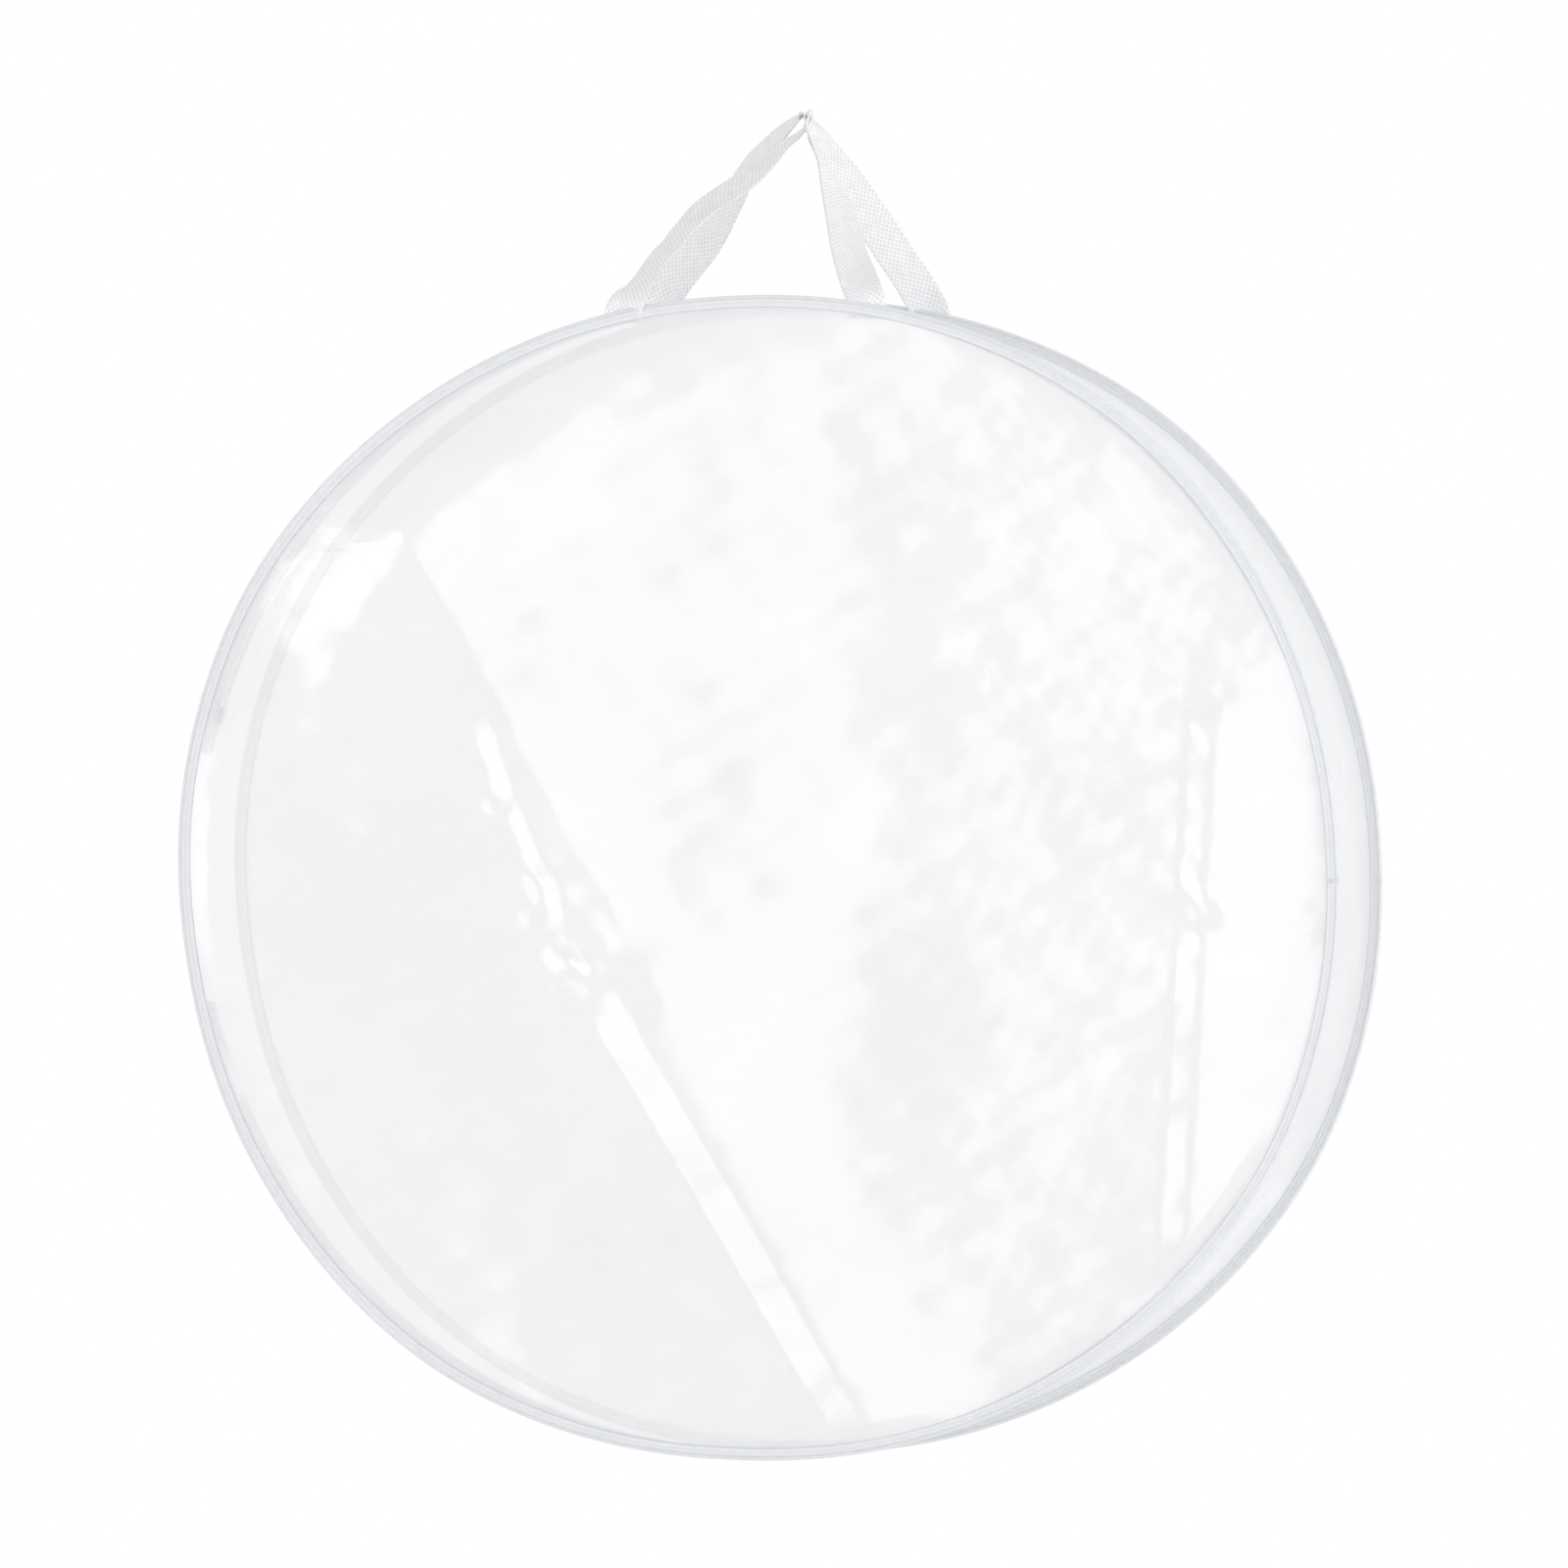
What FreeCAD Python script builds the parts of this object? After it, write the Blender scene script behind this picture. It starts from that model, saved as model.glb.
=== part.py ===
import FreeCAD, Part
import math
import os
import re
import Sketcher

# Round clear storage bag, hanging by two webbing handles from a wall hook.
# Frame: +Z up, the front disc faces -Y, the origin is where the hook carries the handles.
# Lengths are in millimetres and angles in degrees.

DIMENSIONS = {
    "rim_diameter": 762,        # outer edge of the bound rims
    "bag_depth": 178,           # outer face of the front rim to outer face of the back rim
    "binding_height": 8,        # radial height of the woven binding
    "binding_width": 4,         # thickness of the bound rim along the disc's axis
    "binding_cloth": 0.7,       # thickness of the binding tape
    "seam_allowance": 4,        # how far the sheets reach into the binding
    "film": 0.5,                # thickness of the clear film
    "webbing_width": 29,        # the slanting 25 mm webbing measured across, level
    "webbing_thickness": 1.6,
    "handle_spacing": 168,      # centre to centre of one handle's two ends
    "hang_height": 105,         # top of the rims up to the hook
    "gather_height": 17,        # the webbing gathered on the hook
    "hook_half_width": 4,
    "hook_reach": 20,           # hook to the back rim, along Y
    "strap_parting": 4,         # each handle's own place on the hook, either side of the origin
    "knee_height": 104,         # where a strap straightens up to the hook
    "fold_rise": 6,             # the handles' fold line above the rim beside it
    "tail_gap": 3.6,            # sewn webbing end to the fold line
    "fold_distance": 362,       # disc centre to the line where the lid folds
    "fold_gap": 0.4,            # running clearance each side of that line
    "chain_gap_angle": 35,      # arc without zip, on the hinge side
    "tape_cloth": 0.5,
    "lid_tape": 9.2,            # lid tape's edge along the teeth, from the rim's mid plane
    "coil_width": 1.6,
    "coil_height": 2,
    "chain_slit": 1.4,          # slit between the two rows of teeth, where the slider's post runs
    "gusset_tape": 25,          # far edge of the side wall's zip tape
    "film_edge": 17,            # front edge of the side wall's film
    "seam_tape_width": 20,
    "end_tab_angle": 4.8,
    "end_tab_place": 14.9,      # middle of an end tab, above or below the hinge's middle
    "end_tab_edge": 3,          # front edge of an end tab
    "end_tab_slit": 1.8,
    "slider_place": 16.5,       # parked slider, above the hinge's middle
    "slider_length": 11,
    "slider_width": 8.4,
    "slider_slot": 2.9,         # between the slider's two plates
    "plate": 1.1,
    "post_width": 0.8,
    "bridge_length": 8,
    "bridge_width": 2.4,
    "bridge_wall": 1.2,
    "bridge_window": 1.9,
    "pull_length": 22,
    "pull_width": 6,
    "pull_thickness": 1.2,
    "pull_eye_length": 4.4,
    "pull_eye_width": 3.2,
}

# Expressions that several sub-parts share. Axial places are measured along Y from the hook.
RIM = "(rim_diameter / 2)"
WALL = "(rim_diameter / 2 - binding_height)"
SEAM = "(rim_diameter / 2 - binding_height + seam_allowance)"
CENTRE_HEIGHT = "(-hang_height - rim_diameter / 2)"
BACK_RIM = "(hook_reach)"
FRONT_RIM = "(hook_reach - bag_depth + binding_width)"
POCKET = "(binding_width / 2 - binding_cloth)"
STRAP_INNER = "(handle_spacing / 2 - webbing_width / 2)"
STRAP_OUTER = "(handle_spacing / 2 + webbing_width / 2)"
RIM_AT_STRAP = "sqrt(rim_diameter ^ 2 / 4 - (handle_spacing / 2 - webbing_width / 2) ^ 2)"
FOLD_HEIGHT = f"({RIM_AT_STRAP} + fold_rise)"
HOOK_ABOVE_FOLD = f"(hang_height + rim_diameter / 2 - {FOLD_HEIGHT})"
CHAIN = f"({FRONT_RIM} + lid_tape + coil_width + chain_slit / 2)"

doc = FreeCAD.newDocument("round_storage_bag")
sheet = doc.addObject("Spreadsheet::Sheet", "Dims")
for row, (alias, number) in enumerate(DIMENSIONS.items(), start=1):
    sheet.set(f"A{row}", alias)
    sheet.set(f"B{row}", str(number))
    sheet.setAlias(f"B{row}", alias)
doc.recompute()


def bound(text):
    """The expression with each dimension's name pointed at the sheet."""
    return re.sub(r"[a-z_]+", lambda word: f"Dims.{word[0]}" if word[0] in DIMENSIONS else word[0], text)


def size(text):
    """The expression's present value."""
    return float(sheet.evalExpression(bound(text)))


def bind(item, **expressions):
    """Set properties of an object from expressions on the sheet."""
    for name, text in expressions.items():
        item.setExpression(name, bound(text))


def place(item, turn, x="0", y="0", z="0"):
    """Give an object its rotation, and bind its position to the sheet."""
    item.Placement = FreeCAD.Placement(FreeCAD.Vector(size(x), size(y), size(z)), turn)
    item.setExpression("Placement.Base.x", bound(x))
    item.setExpression("Placement.Base.y", bound(y))
    item.setExpression("Placement.Base.z", bound(z))


def new_body(name):
    return doc.addObject("PartDesign::Body", name)


def new_sketch(body, name, plane):
    """An empty sketch on one of the body's own origin planes."""
    sketch = body.newObject("Sketcher::SketchObject", name)
    support = next(item for item in body.Origin.OriginFeatures if item.Role == plane)
    sketch.AttachmentSupport = [(support, "")]
    sketch.MapMode = "FlatFace"
    return sketch


def outline(sketch, corners):
    """Add a closed outline whose corners are pairs of expressions."""
    points = [FreeCAD.Vector(size(across), size(up), 0) for across, up in corners]
    first = sketch.GeometryCount
    count = len(points)
    for index, point in enumerate(points):
        sketch.addGeometry(Part.LineSegment(point, points[(index + 1) % count]), False)
    for index in range(count):
        following = first + (index + 1) % count
        sketch.addConstraint(Sketcher.Constraint("Coincident", first + index, 2, following, 1))
    for index, (across, up) in enumerate(corners):
        line = first + index
        for kind, text in (("DistanceX", across), ("DistanceY", up)):
            number = sketch.addConstraint(Sketcher.Constraint(kind, -1, 1, line, 1, size(text)))
            sketch.setExpression(f"Constraints[{number}]", bound(text))


def rectangle(low, high):
    """Corners of a rectangle, from its lowest and highest corner."""
    return [(low[0], low[1]), (high[0], low[1]), (high[0], high[1]), (low[0], high[1])]


def pad(body, sketch, length):
    """Thicken a sketch by a length, half to each side."""
    feature = body.newObject("PartDesign::Pad", "Pad")
    feature.Profile = sketch
    feature.SideType = "Symmetric"
    bind(feature, Length=length)
    sketch.Visibility = False
    return feature


def spin(body, sketch, angle):
    """Turn a section about the disc's axis, half the angle to each side."""
    feature = body.newObject("PartDesign::Revolution", "Revolution")
    feature.Profile = sketch
    feature.ReferenceAxis = (sketch, ["V_Axis"])
    feature.Midplane = True
    bind(feature, Angle=angle)
    return feature


def ring(name, sections, turn=0):
    """A body of revolution about the disc's axis.

    Each section is (corners, angle). Corners are (radius, place along Y). The middle of the arc
    points along +X, and turn moves it clockwise as seen from the front.
    """
    body = new_body(name)
    for number, (corners, angle) in enumerate(sections):
        sketch = new_sketch(body, f"{name}_section_{number}", "XZ_Plane")
        outline(sketch, corners)
        spin(body, sketch, angle)
    axis_along_y = FreeCAD.Rotation(FreeCAD.Vector(1, 0, 0), -90)
    about_axis = FreeCAD.Rotation(FreeCAD.Vector(0, 0, 1), turn)
    place(body, axis_along_y * about_axis, z=CENTRE_HEIGHT)
    return body


def box(name, length, width, height, x, y, z):
    """A Part box from its lowest corner."""
    item = doc.addObject("Part::Box", name)
    bind(item, Length=length, Width=width, Height=height)
    place(item, FreeCAD.Rotation(), x, y, z)
    return item


def boolean(kind, name, base, tool):
    """A Part cut, fuse or common of two objects."""
    item = doc.addObject(f"Part::{kind}", name)
    item.Base = base
    item.Tool = tool
    return item


parts = []


def finished(item, label):
    """Name a sub-part and put it on the list to be written."""
    item.Label = label
    parts.append(item)
    return item


# Each side of the lid's fold line, as a slab that takes in the whole front rim.

def fold_slab(name, start):
    return box(name, "rim_diameter", "bag_depth", "rim_diameter * 2",
               start, f"{FRONT_RIM} - bag_depth / 2", f"{CENTRE_HEIGHT} - rim_diameter")


hinge_side = fold_slab("hinge_side", "-fold_distance - fold_gap - rim_diameter")
not_lid = fold_slab("not_lid", "-fold_distance + fold_gap - rim_diameter")


def lid_piece(name, whole):
    """The part of a front ring or disc that opens."""
    return boolean("Cut", name, whole, not_lid)


def edge_piece(name, whole):
    """The part of a front ring or disc beyond the fold line, which stays on the bag."""
    return boolean("Common", name, whole, hinge_side)


# Clear discs

def disc(name, inside):
    """A round sheet whose edge lies in the binding."""
    return ring(name, [(rectangle(("0", inside), (SEAM, f"{inside} + film")), "360")])


finished(disc("rear_disc", f"{BACK_RIM} + {POCKET} - film"), "rear_panel")
front_disc = disc("front_disc", f"{FRONT_RIM} - {POCKET}")
finished(lid_piece("front_disc_lid", front_disc), "front_panel")
finished(edge_piece("front_disc_edge", front_disc), "front_panel_edge")


# Side wall: a ring with a flange at the back, and a forward stretch with a flange on the hinge side

def flanged_wall(name, outside, inside, wall_end):
    """A wall with its edge turned outward into a binding, as one L-shaped section.

    The flange lies between outside and inside, and the wall runs from it to wall_end.
    """
    inner = f"{WALL} - film"
    corners = [(inner, outside), (SEAM, outside), (SEAM, inside), (WALL, inside), (WALL, wall_end),
               (inner, wall_end)]
    return ring(name, [(corners, "360")])


BACK_FLANGE = f"({BACK_RIM} - {POCKET})"
FRONT_FLANGE = f"({FRONT_RIM} + {POCKET} - film)"
film_start = f"{FRONT_RIM} + film_edge"
wall_ring = flanged_wall("wall_ring", f"{BACK_FLANGE} + film", BACK_FLANGE, film_start)
wall_front = flanged_wall("wall_front", FRONT_FLANGE, f"{FRONT_FLANGE} + film", film_start)
wall_front_edge = edge_piece("wall_front_edge", wall_front)
finished(boolean("Fuse", "wall", wall_ring, wall_front_edge), "gusset_wall")


# Woven tapes on the side wall

def tape_patch(name, strips, angle, turn):
    """A short stretch of tape lying on the outside of the wall, as one or more strips."""
    inner = f"{WALL} + 0.1"
    sections = [(rectangle((inner, low), (f"{inner} + tape_cloth", high)), angle) for low, high in strips]
    return ring(name, sections, turn)


seam_tape_strip = (f"{FRONT_RIM} + film_edge + 1", f"{BACK_RIM} - binding_width / 2 - 0.2")
seam_tape_angle = "seam_tape_width / rim_diameter * 360 / pi"
finished(tape_patch("seam_tape", [seam_tape_strip], seam_tape_angle, 90), "gusset_seam_tape")

end_tab_strips = [
    (f"{FRONT_RIM} + end_tab_edge", f"{CHAIN} - end_tab_slit / 2"),
    (f"{CHAIN} + end_tab_slit / 2", f"{FRONT_RIM} + gusset_tape"),
]
for side, sign in (("upper", 1), ("lower", -1)):
    middle = 180 + sign * size("end_tab_place")
    finished(tape_patch(f"{side}_tab", end_tab_strips, "end_tab_angle", middle), f"zip_end_tab_{side}")


# Handles: the sewn ends inside the bindings, and the straps above their fold line

def sewn_ends(name, rim, label):
    """Two webbing ends, which stand in the binding and stop just under the handle's fold line."""
    low = f"sqrt({WALL} ^ 2 - {STRAP_INNER} ^ 2) + 0.2"
    height = f"{FOLD_HEIGHT} - tail_gap - ({low})"
    ends = [box(f"{name}_{side}", "webbing_width", "webbing_thickness", height,
                start, f"{rim} - webbing_thickness / 2", f"{CENTRE_HEIGHT} + {low}")
            for side, start in (("left", f"-{STRAP_OUTER}"), ("right", STRAP_INNER))]
    return finished(boolean("Fuse", name, *ends), label)


rear_ends = sewn_ends("rear_ends", BACK_RIM, "rear_handle_tails")
front_ends = sewn_ends("front_ends", FRONT_RIM, "front_handle_tails")


def strap(name, rim, reach, label):
    """A webbing handle: its side view, draped from rim to hook, trimmed to its front view."""
    lean = f"(knee_height / ({reach}))"
    half = "(webbing_thickness / 2)"
    foot = f"({half} * sqrt(knee_height ^ 2 + ({reach}) ^ 2) / knee_height)"
    tip = f"({HOOK_ABOVE_FOLD} + gather_height + 1)"
    before = f"({reach} - {half})"
    after = f"({reach} + {half})"
    drape = new_body(f"{name}_drape")
    side_view = new_sketch(drape, f"{name}_side_view", "YZ_Plane")
    outline(side_view, [(f"-{foot}", "0"), (foot, "0"), (after, f"({after} - {foot}) * {lean}"),
                        (after, tip), (before, tip), (before, f"({before} + {foot}) * {lean}")])
    pad(drape, side_view, f"2 * {STRAP_OUTER} + 2")
    place(drape, FreeCAD.Rotation(), y=rim, z=f"{CENTRE_HEIGHT} + {FOLD_HEIGHT}")

    trim = new_body(f"{name}_trim")
    front_view = new_sketch(trim, f"{name}_front_view", "XZ_Plane")
    outer_top = f"({HOOK_ABOVE_FOLD} + gather_height)"
    shoulder = f"({HOOK_ABOVE_FOLD} + gather_height / 2)"
    outline(front_view, [
        (STRAP_INNER, "0"), (STRAP_OUTER, "0"), ("gather_height", shoulder),
        ("gather_height / 2", outer_top), ("-gather_height / 2", outer_top), ("-gather_height", shoulder),
        (f"-{STRAP_OUTER}", "0"), (f"-{STRAP_INNER}", "0"),
        ("-hook_half_width", HOOK_ABOVE_FOLD), ("hook_half_width", HOOK_ABOVE_FOLD)])
    pad(trim, front_view, "4 * bag_depth")
    place(trim, FreeCAD.Rotation(), z=f"{CENTRE_HEIGHT} + {FOLD_HEIGHT}")
    return finished(boolean("Common", name, drape, trim), label)


strap("front_strap", FRONT_RIM, f"(-{FRONT_RIM} - strap_parting)", "front_handle")
strap("rear_strap", BACK_RIM, "(strap_parting - hook_reach)", "rear_handle")


# Bindings: tape folded over the seam, slit where the handles' ends come through

def binding(name, rim):
    """A U-shaped ring, open towards the disc's centre."""
    half = "binding_width / 2"
    leg = f"{WALL} + 0.1"
    pocket_end = f"{RIM} - binding_cloth"
    corners = [(leg, f"{rim} - {half}"), (RIM, f"{rim} - {half}"), (RIM, f"{rim} + {half}"),
               (leg, f"{rim} + {half}"), (leg, f"{rim} + {POCKET}"), (pocket_end, f"{rim} + {POCKET}"),
               (pocket_end, f"{rim} - {POCKET}"), (leg, f"{rim} - {POCKET}")]
    return ring(name, [(corners, "360")])


finished(boolean("Cut", "rear_tape", binding("rear_fold", BACK_RIM), rear_ends), "rear_binding")
front_fold = binding("front_fold", FRONT_RIM)
front_fold_lid = lid_piece("front_fold_lid", front_fold)
finished(boolean("Cut", "front_tape", front_fold_lid, front_ends), "front_binding")
finished(edge_piece("front_fold_edge", front_fold), "front_binding_edge")


# Zip: two tapes and two rows of teeth round the front of the side wall

def zip_row(name, inner, low, high, angle):
    return ring(name, [(rectangle((inner, low), (f"{WALL} - film / 2 + coil_height / 2", high)), angle)])


chain_angle = "360 - chain_gap_angle"
lid_tape_inner = f"{WALL} - tape_cloth"
lid_tape_end = f"{FRONT_RIM} + lid_tape"
lid_tape = [(lid_tape_inner, FRONT_FLANGE), (SEAM, FRONT_FLANGE), (SEAM, f"{FRONT_FLANGE} + tape_cloth"),
            (WALL, f"{FRONT_FLANGE} + tape_cloth"), (WALL, lid_tape_end), (lid_tape_inner, lid_tape_end)]
finished(ring("lid_tape_ring", [(lid_tape, chain_angle)]), "zip_tape_lid")

coil_inner = f"{WALL} - film / 2 - coil_height / 2"
finished(zip_row("lid_teeth", coil_inner, f"{FRONT_RIM} + lid_tape", f"{CHAIN} - chain_slit / 2",
                 chain_angle), "zip_coil_lid")
finished(zip_row("wall_teeth", coil_inner, f"{CHAIN} + chain_slit / 2",
                 f"{CHAIN} + chain_slit / 2 + coil_width", chain_angle), "zip_coil_gusset")
wall_tape_outer = f"{WALL} - film - 0.05"
wall_tape = rectangle((f"{wall_tape_outer} - tape_cloth", f"{CHAIN} + chain_slit / 2 + coil_width"),
                      (wall_tape_outer, f"{FRONT_RIM} + gusset_tape"))
finished(ring("wall_tape_ring", [(wall_tape, chain_angle)]), "zip_tape_gusset")


# Slider and pull. Their own frame: X along the chain away from the teeth, Z out of the bag.

def at_slider(item, lift):
    """Set an object down at the parked slider, lifted off the chain's middle."""
    angle = math.radians(size("slider_place"))
    along = FreeCAD.Vector(-math.sin(angle), 0, -math.cos(angle))
    across = FreeCAD.Vector(0, -1, 0)
    outward = FreeCAD.Vector(-math.cos(angle), 0, math.sin(angle))
    turn = FreeCAD.Rotation(along, across, outward, "ZXY")
    radius = f"({WALL} - film / 2 + {lift})"
    place(item, turn, x=f"-{radius} * cos(slider_place * 1deg)", y=CHAIN,
          z=f"{CENTRE_HEIGHT} + {radius} * sin(slider_place * 1deg)")


PLATE_TOP = "(slider_slot / 2 + plate)"
PULL_AXIS = f"({PLATE_TOP} + bridge_window / 2)"


def zip_slider():
    """Two plates on a post, with a bridge on the outer plate that holds the pull."""
    body = new_body("slider")
    post = new_sketch(body, "post_side", "XZ_Plane")
    outline(post, rectangle(("slider_length * 0.1", f"-{PLATE_TOP}"), ("slider_length * 0.4", PLATE_TOP)))
    pad(body, post, "post_width")
    for side, sign in (("outer", ""), ("inner", "-")):
        plate = new_sketch(body, f"{side}_plate_side", "XZ_Plane")
        near = f"{sign}slider_slot / 2"
        far = f"{sign}{PLATE_TOP}"
        outline(plate, rectangle(("-slider_length / 2", near), ("slider_length / 2", far)))
        pad(body, plate, "slider_width")
    bridge = new_sketch(body, "bridge_side", "XZ_Plane")
    half = "bridge_length / 2"
    outline(bridge, rectangle((f"-{half}", f"{PLATE_TOP} - plate / 2"),
                              (half, f"{PLATE_TOP} + bridge_window + bridge_wall")))
    outline(bridge, rectangle((f"-{half} + bridge_wall", PLATE_TOP),
                              (f"{half} - bridge_wall", f"{PLATE_TOP} + bridge_window")))
    pad(body, bridge, "bridge_width")
    at_slider(body, "0")
    return finished(body, "zip_slider")


def zip_pull():
    """A flat tab with a square eye round the slider's bridge."""
    body = new_body("pull")
    flat = new_sketch(body, "pull_flat", "XY_Plane")
    bar = "pull_thickness / 2"
    outline(flat, rectangle((f"-{bar}", "-pull_width / 2"), (f"pull_length - {bar}", "pull_width / 2")))
    outline(flat, rectangle((bar, "-pull_eye_width / 2"), (f"{bar} + pull_eye_length", "pull_eye_width / 2")))
    pad(body, flat, "pull_thickness")
    at_slider(body, PULL_AXIS)
    return finished(body, "zip_pull")


zip_slider()
zip_pull()

# Check everything, then write one file per sub-part.

doc.recompute()
for item in doc.Objects:
    faults = [state for state in item.State if state in ("Invalid", "Error")]
    if faults:
        raise RuntimeError(f"{item.Name} failed: {faults}")
for item in parts:
    if item.Shape.isNull() or not item.Shape.isValid() or not item.Shape.Solids:
        raise RuntimeError(f"{item.Label} has no valid shape")

os.makedirs("parts", exist_ok=True)
for item in parts:
    item.Shape.exportStep(f"parts/{item.Label}.step")
    extent = item.Shape.BoundBox
    print(f"{item.Label}: {len(item.Shape.Solids)} solid(s), {item.Shape.Volume / 1000:.2f} cm3,"
          f" X {extent.XMin:.1f} {extent.XMax:.1f}, Y {extent.YMin:.1f} {extent.YMax:.1f},"
          f" Z {extent.ZMin:.1f} {extent.ZMax:.1f}")
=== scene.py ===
import math
import random

import bmesh
import bpy
import numpy as np
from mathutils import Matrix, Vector


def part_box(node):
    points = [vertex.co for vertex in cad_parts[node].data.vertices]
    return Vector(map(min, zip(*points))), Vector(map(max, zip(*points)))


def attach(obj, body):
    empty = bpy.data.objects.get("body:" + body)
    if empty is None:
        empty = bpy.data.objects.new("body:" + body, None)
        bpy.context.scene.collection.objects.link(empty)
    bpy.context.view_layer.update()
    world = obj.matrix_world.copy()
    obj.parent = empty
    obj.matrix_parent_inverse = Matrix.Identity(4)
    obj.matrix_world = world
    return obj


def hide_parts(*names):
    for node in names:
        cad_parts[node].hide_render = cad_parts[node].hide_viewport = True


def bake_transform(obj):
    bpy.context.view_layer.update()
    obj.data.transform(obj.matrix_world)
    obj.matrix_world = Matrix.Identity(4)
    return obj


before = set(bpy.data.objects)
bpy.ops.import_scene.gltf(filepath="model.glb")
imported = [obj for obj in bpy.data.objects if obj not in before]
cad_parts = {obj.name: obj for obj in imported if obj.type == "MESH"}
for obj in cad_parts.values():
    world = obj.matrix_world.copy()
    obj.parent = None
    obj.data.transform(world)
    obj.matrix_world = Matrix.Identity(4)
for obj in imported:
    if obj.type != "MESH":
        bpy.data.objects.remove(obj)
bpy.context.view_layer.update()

# Round clear storage bag hanging by two webbing handles. Metres, +Z up, the front disc faces -Y.


def mm(value):
    return value / 1000


# ---------------------------------------------------------------- places, from the frame

front_low, front_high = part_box("front_binding")
edge_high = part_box("front_binding_edge")[1]
rear_low, rear_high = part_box("rear_binding")
lid_tape_low, lid_tape_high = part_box("zip_tape_lid")
lid_coil_low, lid_coil_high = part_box("zip_coil_lid")
wall_coil_low, wall_coil_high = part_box("zip_coil_gusset")
wall_tape_low, wall_tape_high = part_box("zip_tape_gusset")
seam_tape_low, seam_tape_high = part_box("gusset_seam_tape")

RIM = (rear_high.x - rear_low.x) / 2             # outer radius of the bound rims
CENTRE = (rear_high.z + rear_low.z) / 2          # height of the discs' centre
FRONT = (front_low.y + front_high.y) / 2         # middle of the front rim, along Y
BACK = (rear_low.y + rear_high.y) / 2            # middle of the back rim
MIDDLE = Vector((0, (FRONT + BACK) / 2, CENTRE))  # the middle of the drum
HALF_BAND = (rear_high.y - rear_low.y) / 2       # half the bound rim's thickness
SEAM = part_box("gusset_wall")[1].x                # how far out the sheets reach, inside the binding
WALL = 2 * SEAM - RIM                            # outer radius of the side wall
FOLD = (front_low.x + edge_high.x) / 2           # upright line where the lid folds
FILM = mm(0.5)                                   # thickness of the film
CLOTH = mm(0.5)                                  # thickness of the zip's tapes and end tabs
WALL_MIDDLE = WALL - FILM / 2
CHAIN_END = math.acos(lid_tape_low.x / WALL)     # half the arc that the zip covers, about +X
WALL_FRONT = wall_tape_low.y + mm(3.2)           # front edge of the side wall's film
CHAIN = (lid_coil_high.y + wall_coil_low.y) / 2  # where the two rows of teeth meet, along Y


# ---------------------------------------------------------------- node materials

class Shader:
    """The nodes of a material, or of the world, under construction."""

    def __init__(self, owner):
        self.owner = owner
        self.owner.use_nodes = True
        self.tree = self.owner.node_tree
        self.tree.nodes.clear()

    def add(self, kind, inputs=None, **settings):
        """Add a node. Inputs are numbers, colours or other nodes' outputs, by socket name or number."""
        node = self.tree.nodes.new(f"ShaderNode{kind}")
        for name, value in settings.items():
            setattr(node, name, value)
        for name, value in (inputs or {}).items():
            if isinstance(value, bpy.types.NodeSocket):
                self.tree.links.new(value, node.inputs[name])
            else:
                node.inputs[name].default_value = value
        return node

    def math(self, operation, first, second=0.0, third=0.0):
        """Output of a Math node."""
        node = self.add("Math", {0: first, 1: second, 2: third}, operation=operation)
        return node.outputs[0]

    def spread(self, value, low, high, new_low, new_high):
        """Carry low..high over to new_low..new_high, and stop at the ends."""
        node = self.add("MapRange", {0: value, 1: low, 2: high, 3: new_low, 4: new_high})
        return node.outputs[0]

    def noise(self, scale, detail=3.0, stretch=(1, 1, 1), rough=0.5):
        """Noise in object coordinates, which are metres. Stretch multiplies the scale along each axis."""
        place = self.add("TexCoord").outputs["Object"]
        place = self.add("Mapping", {"Vector": place, "Scale": stretch}).outputs[0]
        node = self.add("TexNoise", {"Vector": place, "Scale": scale, "Detail": detail, "Roughness": rough})
        return node.outputs["Fac"]

    def blend(self, factor, first, second):
        """Mix two colours by a factor."""
        node = self.add("Mix", {0: factor, 6: first, 7: second}, data_type="RGBA")
        return node.outputs[2]

    def bump(self, height, distance, strength, normal=None):
        """Normal of a surface raised by height times distance, on top of another normal."""
        inputs = {"Height": height, "Distance": distance, "Strength": strength}
        if normal is not None:
            inputs["Normal"] = normal
        return self.add("Bump", inputs).outputs[0]

    def finish(self, surface, output="OutputMaterial"):
        """Join the surface to the output, and give the material or world back."""
        self.tree.links.new(surface, self.add(output).inputs["Surface"])
        return self.owner


def new_shader(name):
    return Shader(bpy.data.materials.new(name))


def grey(value, blue=0.0):
    """A grey, with a little more blue than red."""
    return (value, value * (1 + blue / 3), value * (1 + blue), 1)


def yarn_grid(shader, across_pitch, along_pitch):
    """Height of a plain weave from the strip's own coordinates, 0 between yarns and 1 on top."""
    place = shader.add("UVMap", uv_map="strip").outputs[0]
    split = shader.add("SeparateXYZ", {0: place})
    along = shader.math("MULTIPLY", split.outputs[0], math.pi / along_pitch)
    across = shader.math("MULTIPLY", split.outputs[1], math.pi / across_pitch)
    ripple = shader.math("MULTIPLY", shader.math("SINE", along), shader.math("SINE", across))
    return shader.spread(ripple, -1.0, 1.0, 0.0, 1.0)


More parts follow.
